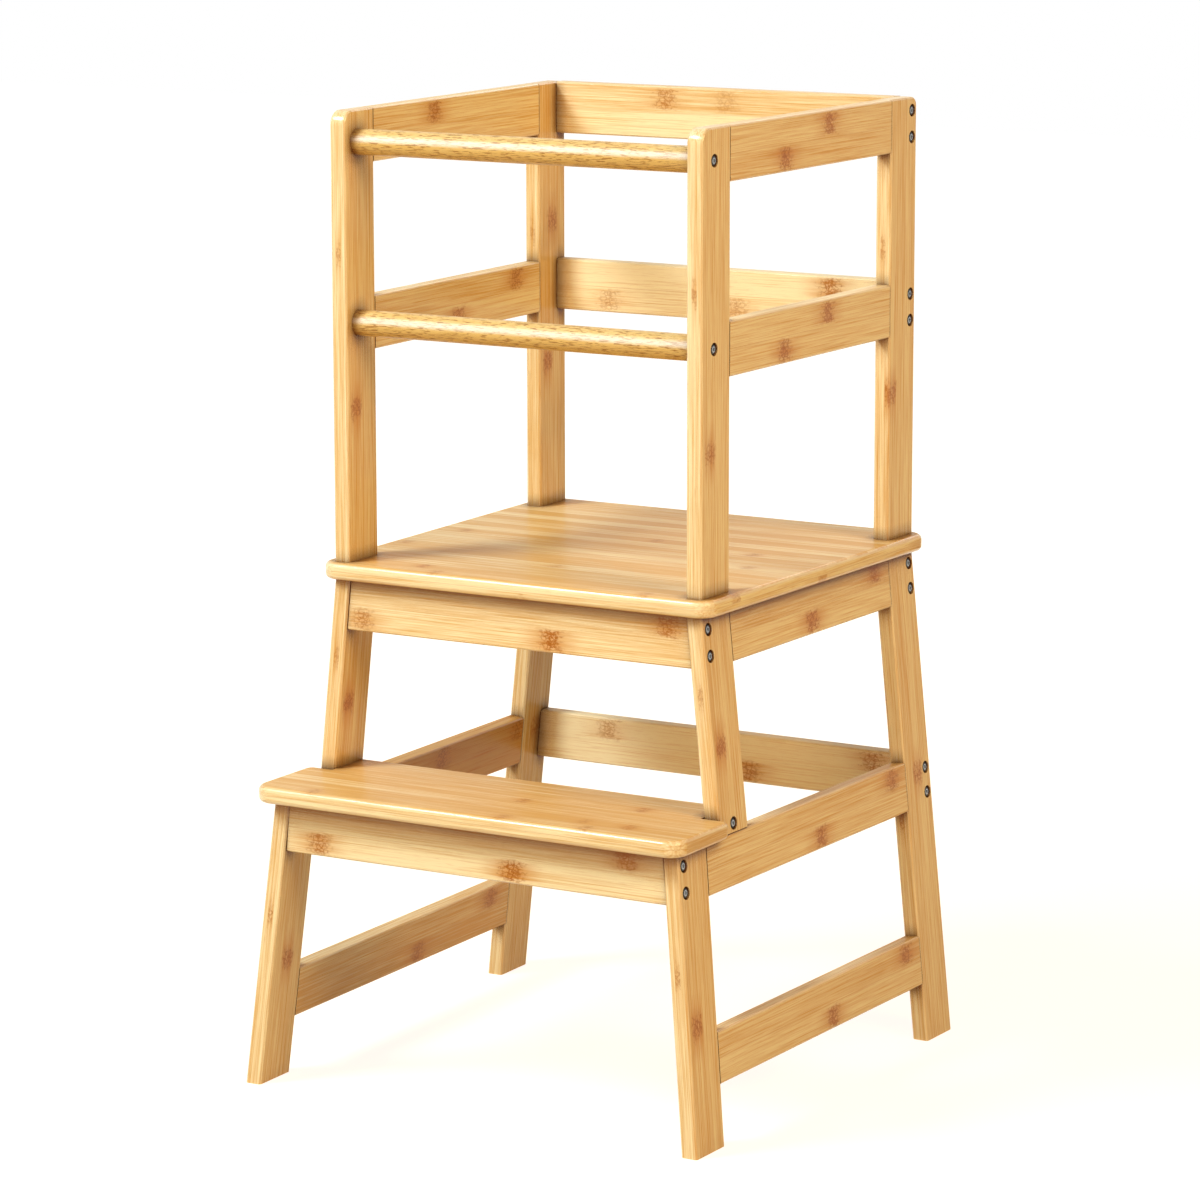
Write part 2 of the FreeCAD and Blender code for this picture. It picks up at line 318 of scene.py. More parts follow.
place = bench.choose(at_end, way_in["Place"], turned)
print("nodes that turn the grain:", len(bench.tree.nodes))

# %% [markdown]
# Each slat has a tone of its own. Within a slat there are threads and fibres, broader streaks, and a slow
# drift of tone along the length. We take each from a noise that is drawn out along the grain, and shift the
# noise from slat to slat, so that no streak crosses a glue line. Together they choose a tone between honey
# and pale, and where the tone falls below honey the wood turns to amber.
# %% Slats, fibres and streaks
PALE_BAMBOO = colour("FBEABA")
HONEY_BAMBOO = colour("DCAD62")
AMBER_STAIN = colour("CC8628")
RUST_LINE = colour("A8600C")
# Each kind of streak: its cells to the metre, its detail, and how far it moves the tone
GRAIN = {
    "threads": ((18, 1400, 1400), 2, 1.7),
    "fibres": ((10, 620, 620), 3, 1.8),
    "streaks": ((3, 170, 170), 2, 0.42),
    "drift": ((3, 16, 16), 1, 0.6),
}
SLAT_SHIFT = 9.0
BELOW_HONEY = (-0.3, -1.2)
PORE_STRETCH = (60, 1500, 1500)
PORE_RANGE = (0.60, 0.72)
PORE_STRENGTH = 0.22

count = bench.vector("DIVIDE", place, way_in["Slat"])
number = bench.vector("ADD", bench.vector("FLOOR", count), way_in["Seed"])
slat_tone = bench.add("ShaderNodeTexWhiteNoise", {"Vector": number}).outputs["Value"]
own_place = bench.vector("ADD", place, bench.maths("MULTIPLY", slat_tone, SLAT_SHIFT))
tone = way_in["Tone"]
grain = {}
for name, (stretch, detail, amount) in GRAIN.items():
    grain[name] = bench.noise(own_place, stretch, detail)
    tone = bench.vary(tone, grain[name], amount)
tone = bench.vary(tone, slat_tone, way_in["Contrast"])
wood = bench.blend(tone, HONEY_BAMBOO, PALE_BAMBOO)
# Below honey the wood turns to amber: here and there in the grain, and all along a piece whose painted shade
# gives it a deep tone
wood = bench.blend(bench.fade(tone, *BELOW_HONEY), wood, AMBER_STAIN)
pores = bench.fade(bench.noise(own_place, PORE_STRETCH, 1), *PORE_RANGE)
wood = bench.tint(pores, PORE_STRENGTH, wood, AMBER_STAIN)
print("kinds of streak:", list(GRAIN))

# %% [markdown]
# The lines in a knuckle are like a crumpled net. A noise alone gives blobs, and a scratch texture gives
# straight lines. The borders between Voronoi cells are a net by themselves, and a noise added to the place
# bends them, so they are used here, only within the core of a mark. The stain is strongest where a streak
# is dark already.
# %% Knuckle lines
NET_STRETCH = (200, 280, 280)
BEND_SCALE = 300.0
BEND_WIDTH = (0.004, 0.004, 0.004)
MIDDLE_NOISE = (0.5, 0.5, 0.5)
LINE_FADE = (0.03, 0.2)
FLECK_STRETCH = (150, 800, 800)
FLECK_RANGE = (0.50, 0.60)
STREAK_STAIN = (0.75, 0.25, 0.3, 0.75)
CORE_RUST, FLECK_RUST, LINE_RUST, SPINE_RUST = 0.10, 0.35, 0.8, 0.25

bend = bench.add("ShaderNodeTexNoise", {"Vector": place, "Scale": BEND_SCALE, "Detail": 1.0})
bend = bench.vector("SUBTRACT", bend.outputs["Color"], MIDDLE_NOISE)
bent_place = bench.vector("ADD", place, bench.vector("MULTIPLY", bend, BEND_WIDTH))
net = {"Vector": bench.vector("MULTIPLY", bent_place, NET_STRETCH), "Scale": 1.0}
net = bench.add("ShaderNodeTexVoronoi", net, feature="DISTANCE_TO_EDGE").outputs[0]
lines = bench.maths("MULTIPLY", bench.fall(net, *LINE_FADE), way_in["Core"])
flecks = bench.fade(bench.noise(place, FLECK_STRETCH, 2), *FLECK_RANGE)
flecks = bench.maths("MULTIPLY", flecks, way_in["Core"])
wood = bench.tint(way_in["Stain"], bench.fade(grain["streaks"], *STREAK_STAIN), wood, AMBER_STAIN)
wood = bench.tint(way_in["Core"], CORE_RUST, wood, RUST_LINE)
wood = bench.tint(flecks, FLECK_RUST, wood, RUST_LINE)
wood = bench.tint(lines, LINE_RUST, wood, RUST_LINE)
wood = bench.tint(way_in["Spine"], SPINE_RUST, wood, RUST_LINE)
print("knuckle net cells:", NET_STRETCH, "to the metre")

# %% [markdown]
# A glue line is found from the distance to the edge of the slat, and is only a shade darker than the wood.
# The group also gives the height for a light bump, in which fibres stand up and lines are sunk, and a
# roughness that is a little less on the fibres, where the varnish lies thicker.
# %% Glue lines, relief and roughness
GLUE_FADE = (0.0001, 0.0005)
GLUE_SHARE = 0.4
FIBRE_HEIGHT, LINE_DEPTH, GLUE_DEPTH = 0.5, 0.5, 0.4
FIBRE_ROUGHNESS = (0.2, 0.8, 0.46, 0.36)

within = bench.vector("FRACTION", count)
to_edge = bench.vector("MINIMUM", within, bench.vector("SUBTRACT", (1, 1, 1), within))
to_edge = bench.split(bench.vector("MULTIPLY", to_edge, way_in["Slat"]))
glue_line = bench.fall(bench.maths("MINIMUM", to_edge[1], to_edge[2]), *GLUE_FADE)
wood = bench.tint(glue_line, bench.maths("MULTIPLY", way_in["Contrast"], GLUE_SHARE), wood, RUST_LINE)
# Painted shade in the hollows, found by the ambient occlusion node
wood = paint_shade_in_hollows(bench, wood)

height = bench.maths("MULTIPLY", grain["fibres"], FIBRE_HEIGHT)
height = bench.maths("SUBTRACT", height, bench.maths("MULTIPLY", lines, LINE_DEPTH))
height = bench.maths("SUBTRACT", height, bench.maths("MULTIPLY", glue_line, GLUE_DEPTH))
bench.tree.links.new(wood, way_out["Colour"])
bench.tree.links.new(bench.fade(grain["fibres"], *FIBRE_ROUGHNESS), way_out["Roughness"])
bench.tree.links.new(height, way_out["Height"])
laminated_bamboo = bench.tree
print("laminated bamboo nodes:", len(laminated_bamboo.nodes))

# %% [markdown]
# ## Where the knuckles are
# On the real tower the marks are what makes each rail different, so their places are written down: how far
# along the piece, on which slat counted from its low edge, in which layer counted from one face, and how
# strong. A layer of None is a mark that goes right through, as it does in a rail of two tall slats.
# %% The marks of each piece
RAIL, UPRIGHT, PLATFORM, STEP = (2, 1), (5, 3), (21, 2), (7, 2)
KNUCKLES = {
    "guard_side_rail_top_left": [(0.37, 1, None, 1.0)],
    "guard_side_rail_mid_left": [(0.81, 1, None, 1.0), (0.49, 0, None, 0.9)],
    "guard_side_rail_top_right": [(0.59, 1, None, 1.0), (0.346, 0, None, 1.0)],
    "guard_side_rail_mid_right": [(0.587, 1, None, 1.0), (0.346, 0, None, 1.0)],
    "rear_rail_top": [(0.333, 1, None, 0.7), (0.513, 1, None, 0.35)],
    "rear_rail_mid": [(0.822, 1, None, 1.0), (0.548, 0, None, 0.5), (0.16, 0, None, 0.5)],
    "front_apron": [(0.047, 0, None, 0.7), (0.60, 0, None, 1.2), (0.932, 1, None, 0.9)],
    "rear_apron": [(0.28, 1, None, 0.8), (0.71, 0, None, 1.0)],
    "rear_stretcher": [(0.579, 0, None, 0.9), (0.903, 1, None, 0.9), (0.2, 1, None, 0.6)],
    "step_apron": [(0.091, 0, None, 0.9), (0.604, 0, None, 1.2), (0.897, 1, None, 0.9)],
    "side_apron_right": [(0.49, 0, None, 1.1), (0.862, 1, None, 0.9)],
    "side_apron_left": [(0.42, 1, None, 0.9), (0.78, 0, None, 0.8)],
    "mid_side_rail_right": [(0.889, 1, None, 1.0), (0.543, 0, None, 1.0)],
    "mid_side_rail_left": [(0.584, 1, None, 0.9), (0.93, 1, None, 0.8), (0.2, 0, None, 0.8)],
    "low_side_stretcher_right": [(0.89, 1, None, 1.0), (0.539, 0, None, 1.0)],
    "low_side_stretcher_left": [(0.871, 1, None, 1.0), (0.553, 0, None, 0.9)],
    "guard_post_front_left": [(0.685, 0, 1, 0.5), (0.341, 1, 0, 0.9), (0.12, 3, 2, 0.8)],
    "guard_post_front_right": [(0.652, 0, 1, 0.6), (0.309, 1, 0, 0.8), (0.83, 3, 2, 0.7)],
    "guard_post_rear_left": [(0.675, 2, 0, 0.9), (0.343, 1, 0, 0.9), (0.65, 0, 1, 0.4)],
    "guard_post_rear_right": [(0.662, 0, 1, 0.5), (0.337, 0, 0, 0.9), (0.5, 3, 2, 0.8)],
    "front_leg_upper_left": [(0.654, 0, 1, 0.5), (0.448, 1, 0, 1.0)],
    "front_leg_upper_right": [(0.666, 0, 1, 0.5), (0.445, 1, 0, 1.0)],
    "step_leg_left": [(0.597, 0, 1, 0.6), (0.432, 2, 0, 1.0), (0.7, 2, 2, 0.8)],
    "step_leg_right": [(0.592, 0, 1, 0.6), (0.421, 1, 0, 1.0), (0.2, 3, 2, 0.8)],
    "rear_leg_left": [(0.545, 2, 0, 0.6), (0.25, 1, 2, 0.9), (0.8, 0, 1, 0.6)],
    "rear_leg_right": [(0.545, 2, 0, 0.9), (0.454, 0, 1, 0.7), (0.22, 3, 2, 0.8)],
    "platform_board": [(0.523, 0, 0, 1.0), (0.303, 0, 1, 0.5), (0.819, 0, 1, 0.5), (0.086, 10, 1, 0.7),
                       (0.047, 6, 1, 0.6), (0.242, 1, 1, 0.8), (0.525, 12, 1, 0.6), (0.798, 11, 1, 0.8),
                       (0.86, 8, 1, 0.6), (0.491, 4, 1, 0.5), (0.993, 10, 0, 0.4), (0.984, 2, 1, 0.4)],
    "step_board": [(0.139, 0, 1, 0.5), (0.551, 3, 1, 0.7), (0.802, 4, 1, 0.8), (0.588, 0, 1, 0.6),
                   (0.851, 1, 1, 0.7), (0.748, 1, 1, 0.4), (0.539, 0, 0, 0.9), (0.778, 0, 1, 0.5)],
}


def slats_of(name):
    """How many slats a piece has across its width, and how many layers through its thickness."""
    if name == "platform_board":
        return PLATFORM
    if name == "step_board":
        return STEP
    return UPRIGHT if "post" in name or "leg" in name else RAIL


print("marks:", sum(len(marks) for marks in KNUCKLES.values()))

# %% [markdown]
# ## One bamboo material for each piece
# Each piece has its own material, because its grain starts at its own corner and its marks are its own. The
# values below set a kind of piece apart from the others. A clear varnish lies over the bamboo. It is thin on
# the flat faces, which look almost matt, and full on the rounded edges, where it gathers the lamp into a
# bright line. The tone of a board goes by the way that a spot faces: painted shade makes its face deeper, and
# painted light makes its edges paler. A few pieces get a tone of their own. Above 0 it is painted light,
# which makes a piece paler where the lamps leave it dim, and below 0 it is painted shade, which makes it
# deeper. A tone of 0 is honey and a tone of 1 is pale.
# %% Tones and varnish
SLAT_CONTRAST = {RAIL: 0.34, UPRIGHT: 0.1, PLATFORM: 0.6, STEP: 0.6}
FACE_TONE_AND_SHADE = {RAIL: 0.5, UPRIGHT: 0.5, PLATFORM: 0.2, STEP: 0.26}
RIM_TONE_AND_LIGHT = {RAIL: 0.5, UPRIGHT: 0.5, PLATFORM: 0.95, STEP: 0.7}
PAINTED_LIGHT_AND_SHADE = {
    "rear_stretcher": 0.55, "rear_rail_mid": 0.45, "step_apron": 0.42, "rear_rail_top": 0.1,
    "guard_post_front_right": 0.16, "mid_side_rail_right": 0.15, "guard_side_rail_top_left": 0.15,
    "guard_side_rail_mid_right": 0.15, "guard_post_rear_right": 0.12, "rear_leg_right": 0.12,
    "front_apron": 0.05, "guard_post_rear_left": -0.08, "low_side_stretcher_left": -0.2,
    "mid_side_rail_left": -1.1,
}
FACE_VARNISH = {RAIL: 0.3, UPRIGHT: 0.3, PLATFORM: 0.08, STEP: 0.08}
RIM_VARNISH = {RAIL: 0.06, UPRIGHT: 0.3, PLATFORM: 0.08, STEP: 0.08}
EDGE_VARNISH = 1.0
# How squarely a spot looks along an axis of its piece, from 0 to 1: between the first two values the finish
# of one face gives way to that of the next, and between the second two that of an edge to that of a face
TURNS_TO_FACE = (0.5, 0.95)
TURNS_FLAT = (0.90, 0.99)
print("pieces with a tone of their own:", len(PAINTED_LIGHT_AND_SHADE))

# %% [markdown]
# The place on a piece is measured from just outside its low corner. A Mapping node set to Texture undoes a
# turn and a shift, so it takes us from the tower's axes to those of the piece. Only its lengthwise places
# start a whole metre on, as the group above expects.
# %% Places and facings
EDGE_MARGIN = 0.0005


def new_material(name):
    """An empty material with a bench, and its surface socket."""
    material = bpy.data.materials.new(name)
    material.use_nodes = True
    material.node_tree.nodes.clear()
    bench = FinishBench(material.node_tree)
    return material, bench, bench.add("ShaderNodeOutputMaterial").inputs["Surface"]


def place_on(bench, name):
    """The place on a piece, measured along its own axes from just outside its low corner."""
    turn, corner, sizes = lie_of(name)
    inputs = {
        "Vector": bench.add("ShaderNodeTexCoord").outputs["Object"],
        "Location": corner - turn @ Vector((BEYOND_ENDS, EDGE_MARGIN, EDGE_MARGIN)),
        "Rotation": turn.to_euler(),
    }
    return bench.add("ShaderNodeMapping", inputs, vector_type="TEXTURE").outputs[0], sizes


def facings_on(bench, name):
    """How squarely a spot looks along, across and through its piece, each from 0 to 1."""
    normal = bench.add("ShaderNodeNewGeometry").outputs["Normal"]
    axes = lie_of(name)[0].col
    return [bench.maths("ABSOLUTE", bench.vector("DOT_PRODUCT", normal, axis)) for axis in axes]


print("the right step leg starts at:", [round(v, 3) for v in lie_of("step_leg_right")[1]])

# %% [markdown]
# The marks of a piece are chained: each takes what the last one gave, and passes on the stronger of the two.
# A mark on a rail is longer than one on a board, whose slats are narrow. On an upright we see the edges of
# the layers, and there a mark spreads over more than one slat.
# %% A chain of marks
MARK_HALF_LENGTH = {RAIL: 0.0110, UPRIGHT: 0.0098, PLATFORM: 0.0056, STEP: 0.0062}
MARK_SPREAD = {RAIL: 1.0, UPRIGHT: 2.2, PLATFORM: 1.0, STEP: 1.0}


def marks_on(bench, name, place, sizes, slat):
    """The spine, core and stain of all the marks of a piece."""
    kind = slats_of(name)
    chain = {"Spine": 0.0, "Core": 0.0, "Stain": 0.0}
    for share, number, layer, strength in KNUCKLES[name]:
        middle, half = (kind[1] / 2, kind[1]) if layer is None else (layer + 0.5, 0.5)
        centre = (BEYOND_ENDS + share * sizes.x, (number + 0.5) * slat.y, middle * slat.z)
        reach = (MARK_HALF_LENGTH[kind], MARK_SPREAD[kind] * slat.y / 2, half * slat.z)
        inputs = {"Place": place, "Centre": centre, "Reach": reach, "Strength": strength, **chain}
        mark = bench.add("ShaderNodeGroup", inputs, node_tree=knuckle_mark)
        chain = {label: mark.outputs[label] for label in chain}
    return chain


print("longest chain:", max(len(marks) for marks in KNUCKLES.values()), "marks")

# %% [markdown]
# Now the parts come together in a Principled shader. Its base keeps almost no gloss of its own, because the
# coat over it is the varnish. The bump is shallow: a planed plank is smooth to the hand, and only the light
# tells its fibres apart. A slat runs through its whole piece, so its length is given as endless.
# %% Finish a piece in bamboo
ENDLESS = 1000.0
SEED_STEP = 3.7
WOOD_GLOSS = 0.06
VARNISH_ROUGHNESS = 0.2
RELIEF_STRENGTH = 0.25
RELIEF_DEPTH = 0.0004


def bamboo_finish(name, seed):
    """The bamboo of one piece."""
    material, bench, surface = new_material("bamboo_" + name)
    kind = slats_of(name)
    place, sizes = place_on(bench, name)
    slat = Vector((ENDLESS, (sizes.y + 2 * EDGE_MARGIN) / kind[0], (sizes.z + 2 * EDGE_MARGIN) / kind[1]))
    lengthwise, across, through = facings_on(bench, name)
    flat = bench.maths("MAXIMUM", lengthwise, bench.maths("MAXIMUM", across, through))
    varnish = bench.fade(across, *TURNS_TO_FACE, FACE_VARNISH[kind], RIM_VARNISH[kind])
    varnish = bench.fade(flat, *TURNS_FLAT, EDGE_VARNISH, varnish)
    # Painted shade on the face of a board and painted light on its edges, then the painted light and shade of
    # the piece itself
    tone = bench.fade(through, *TURNS_TO_FACE, RIM_TONE_AND_LIGHT[kind], FACE_TONE_AND_SHADE[kind])
    inputs = {
        "Place": place, "Along": lie_of(name)[0].col[0], "Length": sizes.x, "Slat": slat,
        "Tone": bench.maths("ADD", tone, PAINTED_LIGHT_AND_SHADE.get(name, 0.0)), "Contrast": SLAT_CONTRAST[kind],
        "Seed": seed * SEED_STEP, **marks_on(bench, name, place, sizes, slat),
    }
    wood = bench.add("ShaderNodeGroup", inputs, node_tree=laminated_bamboo).outputs
    relief = {"Strength": RELIEF_STRENGTH, "Distance": RELIEF_DEPTH, "Height": wood["Height"]}
    inputs = {
        "Base Color": wood["Colour"], "Roughness": wood["Roughness"], "Specular IOR Level": WOOD_GLOSS,
        "Normal": bench.add("ShaderNodeBump", relief).outputs[0],
        "Coat Weight": varnish, "Coat Roughness": VARNISH_ROUGHNESS,
    }
    bench.tree.links.new(bench.add("ShaderNodeBsdfPrincipled", inputs).outputs[0], surface)
    return material


for seed, name in enumerate(sorted(KNUCKLES)):
    pieces[name].data.materials[0] = bamboo_finish(name, seed)
print("bamboo pieces:", len(KNUCKLES))

# %% [markdown]
# ## The round bars
# The two bars at the front are turned from a golden wood with coarse pores, which show as short dark dashes
# along the bar. A pale highlight runs along the upper part of each. The lamps alone make it too faint, so
# most of it is a painted highlight laid into the wood, as a paler stripe at a height on the bar, and a coat
# of varnish adds the rest. The dashes and the finer speckle are noises drawn out along the bar, kept only
# where they are strongest, and they show less in the painted highlight.
# %% Colours and pores of the bars
PALE_GOLD = colour("F8E2A6")
DEEP_GOLD = colour("DDB666")
HIGHLIGHT_WHITE = colour("FCF1DC")
PORE_BROWN = colour("8E5614")
# The painted highlight along each bar, and the painted light on its upper side
HIGHLIGHT_HEIGHT_SHARE, HIGHLIGHT_REACH_SHARE = 0.66, 0.18
IN_HIGHLIGHT = 0.45
LIT_UPPER_TONE = (0.4, 0.8, 0.0, 0.4)
BAND_STRETCH, BAND_TONE = (14, 210, 210), (0.3, 0.7, -0.12, 0.12)
SPECKLE_STRETCH, SPECKLE_RANGE = (150, 1200, 1200), (0.44, 0.62, 0.0, 0.5)
DASH_STRETCH, DASH_RANGE, DASH_STRENGTH = (110, 1000, 1000), (0.52, 0.62), 0.75
BAND_WARP, PORE_WARP = 0.4, 0.3
print("a dash is about", round(1000 / DASH_STRETCH[0]), "mm long")

# %% [markdown]
# A bar lies level, and its place across is measured upwards from its lowest line. Divided by the thickness of
# the bar, that is a height from 0 to 1, by which the wood gets its painted highlight and a paler upper side,
# which is painted light from above. The second bar takes its pattern from another place, so that the two
# don't look like copies.
# %% Finish the bars
BAR_RELIEF, BAR_GLOSS, BAR_VARNISH, BAR_VARNISH_ROUGHNESS = 0.3, 0.2, 0.22, 0.32
BAR_ROUGHNESS = (0, 1, 0.42, 0.55)
NEXT_BAR_SHIFT = Vector((5, 3, 0))


def golden_finish(name, shift):
    """The turned wood of one bar."""
    material, bench, surface = new_material("golden_" + name)
    place, sizes = place_on(bench, name)
    height = bench.maths("DIVIDE", bench.split(place)[1], sizes.y)
    # Painted highlight: a paler stripe at a height on the bar, and painted light that makes the upper side
    # paler
    off_highlight = bench.maths("ABSOLUTE", bench.maths("SUBTRACT", height, HIGHLIGHT_HEIGHT_SHARE))
    painted_highlight = bench.fade(off_highlight, 0.0, HIGHLIGHT_REACH_SHARE)
    place = bench.vector("ADD", place, shift)
    bands = bench.noise(place, BAND_STRETCH, 3, BAND_WARP)
    tone = bench.maths("ADD", bench.fade(height, *LIT_UPPER_TONE), bench.fade(bands, *BAND_TONE))
    gold = bench.blend(painted_highlight, HIGHLIGHT_WHITE, bench.blend(tone, DEEP_GOLD, PALE_GOLD))
    shown = bench.fade(painted_highlight, 0.0, 1.0, IN_HIGHLIGHT, 1.0)
    speckle = bench.fade(bench.noise(place, SPECKLE_STRETCH, 2, PORE_WARP), *SPECKLE_RANGE)
    gold = bench.tint(speckle, shown, gold, DEEP_GOLD)
    dashes = bench.fade(bench.noise(place, DASH_STRETCH, 2, PORE_WARP), *DASH_RANGE)
    gold = bench.tint(bench.maths("MULTIPLY", dashes, shown), DASH_STRENGTH, gold, PORE_BROWN)
    relief = {"Strength": BAR_RELIEF, "Distance": RELIEF_DEPTH, "Height": bands}
    # The base colour carries painted shade in the hollows
    inputs = {
        "Base Color": paint_shade_in_hollows(bench, gold), "Roughness": bench.fade(dashes, *BAR_ROUGHNESS),
        "Normal": bench.add("ShaderNodeBump", relief).outputs[0], "Specular IOR Level": BAR_GLOSS,
        "Coat Weight": BAR_VARNISH, "Coat Roughness": BAR_VARNISH_ROUGHNESS,
    }
    bench.tree.links.new(bench.add("ShaderNodeBsdfPrincipled", inputs).outputs[0], surface)
    return material


for number, name in enumerate(("front_bar_top", "front_bar_mid")):
    pieces[name].data.materials[0] = golden_finish(name, NEXT_BAR_SHIFT * number)
print("bars:", number + 1)

# %% [markdown]
# ## Softer edges
# The solids have plain planed bevels. Sandpaper takes off their last sharpness, and that is what catches the
# light as a thin pale line. The Bevel modifier does the same, and leaves the mesh itself as it came. The
# packed mesh is split along its edges, so a Weld modifier joins the corners first.
# %% Sand the edges
SANDED_EDGE = 0.0007
SHARP_TURN = math.radians(28)
SAME_CORNER = 0.00001

for name, piece in pieces.items():
    if "bar" in name:
        continue
    weld = piece.modifiers.new("join corners", "WELD")
    weld.merge_threshold = SAME_CORNER
    sand = piece.modifiers.new("sanded edges", "BEVEL")
    sand.width = SANDED_EDGE
    sand.segments = 2
    sand.limit_method = "ANGLE"
    sand.angle_limit = SHARP_TURN
    sand.harden_normals = True
print("sanded edge:", SANDED_EDGE * 1000, "mm")

# %% [markdown]
# ## The joint bolts
# Bolts go through the uprights into the ends of the rails, the bars and the step. Each has a round head with
# a hexagon socket, sunk a little below the wood. The head is turned round its own axis from a short profile,
# and the socket is a six-sided ring that is pushed in. One mesh serves all the bolts, and we start with
# the two kinds of ring: a circle, and a hexagon with as many points as the circle, so that the two join up.
# %% Rings of a bolt head
SOCKET_RADIUS = 0.0023
ROUND_STEPS = 36


def circle(radius):
    """A rule that gives the same reach at every turn round the bolt."""
    return lambda turn: radius


def hexagon(turn):
    """The reach of the socket's sides at a turn round the bolt."""
    side = math.tau / 6
    return SOCKET_RADIUS * math.cos(side / 2) / math.cos(turn % side - side / 2)


def ring(mesh, height, reach):
    """A ring of points at a height, with their reach from the axis given by a rule."""
    turns = [math.tau * step / ROUND_STEPS for step in range(ROUND_STEPS)]
    return [mesh.verts.new((height, reach(t) * math.cos(t), reach(t) * math.sin(t))) for t in turns]


print("socket across its flats:", round(2000 * hexagon(math.radians(30)), 1), "mm")

# %% [markdown]
# The profile is a straight rim and a quarter round on top of it, down to the socket. Each ring is joined to
# the next one by a belt of faces. The head is shaded smooth, but its sharp edges stay sharp.
# %% The head of one bolt
HEAD_RADIUS = 0.0054
HEAD_HIGH = 0.0036
RIM_HIGH = 0.0016
SOCKET_DEEP = 0.0024
DOME_STEPS = 6
SHARP_EDGE = math.radians(35)


def bolt_head():
    """A bolt head with its under-face at the origin and its socket towards +X."""
    profile = [(0, HEAD_RADIUS), (RIM_HIGH, HEAD_RADIUS)]
    for step in range(1, DOME_STEPS):
        turn = math.radians(90) * step / DOME_STEPS
        rise = (HEAD_HIGH - RIM_HIGH) * math.sin(turn)
        profile.append((RIM_HIGH + rise, SOCKET_RADIUS + (HEAD_RADIUS - SOCKET_RADIUS) * math.cos(turn)))
    mesh = bmesh.new()
    rings = [ring(mesh, height, circle(radius)) for height, radius in profile]
    rings += [ring(mesh, HEAD_HIGH - depth, hexagon) for depth in (0, SOCKET_DEEP)]
    for low, high in zip(rings, rings[1:]):
        for step in range(ROUND_STEPS):
            after = (step + 1) % ROUND_STEPS
            mesh.faces.new((low[step], low[after], high[after], high[step]))
    mesh.faces.new(rings[0][::-1])
    mesh.faces.new(rings[-1])
    bmesh.ops.recalc_face_normals(mesh, faces=mesh.faces)
    data = bpy.data.meshes.new("bolt head")
    mesh.to_mesh(data)
    mesh.free()
    data.polygons.foreach_set("use_smooth", [True] * len(data.polygons))
    data.set_sharp_from_angle(angle=SHARP_EDGE)
    return data


head_mesh = bolt_head()
print("bolt head faces:", len(head_mesh.polygons))

# %% [markdown]
# ## Bolt steel
# The heads are zinc-plated steel: a metal with a middling roughness and a fine grit. In the picture each
# head has a bright middle and a dark ring. Part of that ring is the gap in the recess, but a head as small
# as this also mirrors the dark wood of its recess all round. So the steel is darkened by its distance from
# the bolt's axis, in two steps.
# %% Finish the bolts
DULL_ZINC, BRIGHT_ZINC = colour("A5A8AA"), colour("DADDDE")
# Painted reflection and shade: the dark recess mirrored in the head, and the shade of its gap
DOME_REFLECTION_GREY, RIM_SHADE_AND_REFLECTION = colour("4A4845"), colour("1A130E")
DOME_FROM, RIM_FROM = (0.0021, 0.0030), (0.0034, 0.0042)
GRIT_SCALE = 900.0
GRIT_ROUGHNESS = (0.3, 0.7, 0.22, 0.36)

material, bench, surface = new_material("plated_steel")
spot = bench.add("ShaderNodeTexCoord").outputs["Object"]
grit = bench.add("ShaderNodeTexNoise", {"Vector": spot, "Scale": GRIT_SCALE, "Detail": 3.0}).outputs["Fac"]
from_axis = bench.vector("LENGTH", bench.vector("MULTIPLY", spot, (0, 1, 1)))
steel = bench.blend(grit, DULL_ZINC, BRIGHT_ZINC)
# Painted reflection and shade, darker with the distance from the bolt's axis
steel = bench.blend(bench.fade(from_axis, *DOME_FROM), steel, DOME_REFLECTION_GREY)
steel = bench.blend(bench.fade(from_axis, *RIM_FROM), steel, RIM_SHADE_AND_REFLECTION)
inputs = {"Base Color": steel, "Metallic": 1.0, "Roughness": bench.fade(grit, *GRIT_ROUGHNESS)}
bench.tree.links.new(bench.add("ShaderNodeBsdfPrincipled", inputs).outputs[0], surface)
head_mesh.materials.append(material)
print("steel nodes:", len(bench.tree.nodes))

# %% [markdown]
# ## Set the bolts in their recesses
# A bolt stands square to the side panel, so its place is found on the flat panel and then stood up with the
# same turns as the wood. The left bolt is the right one in a mirror. A mirrored mesh is inside out, so it is
# mirrored once more within itself, which puts that right.
# %% How a bolt stands
SPLAY_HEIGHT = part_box("platform_board")[0].z
HEAD_SEAT = 0.0042
PANEL_CORNER = lie_of("guard_post_front_right")[1]
PANEL_CORNER.z = 0


def on_panel(depth, z, splayed):
    """A bolt's seat in the right panel, and its turn: depth is measured back from the guard's front."""
    turn = panel_turn(1, splayed)
    if not splayed:
        return turn @ Vector((-HEAD_SEAT, depth, z)) + PANEL_CORNER, turn
    hinge = Vector((0, 0, SPLAY_HEIGHT))
    flat = Vector((-HEAD_SEAT, depth, (z - SPLAY_HEIGHT) / math.cos(LEG_SPLAY)))
    return turn @ flat + hinge + PANEL_CORNER, turn


def set_bolt(label, depth, z, splayed):
    """The same bolt in the right and in the left side panel."""
    spot, turn = on_panel(depth, z, splayed)
    stand = Matrix.Translation(spot) @ turn.to_4x4()
    mirror = Matrix.Scale(-1, 4, Vector((1, 0, 0)))
    turned_over = Matrix.Scale(-1, 4, Vector((0, 1, 0)))
    for word, place in (("right", stand), ("left", mirror @ stand @ turned_over)):
        bolt = bpy.data.objects.new(f"bolt_{label}_{word}", head_mesh)
        bpy.context.scene.collection.objects.link(bolt)
        bolt.matrix_world = place
        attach(bolt, "root")


print("the panel's corner:", [round(v, 4) for v in PANEL_CORNER])

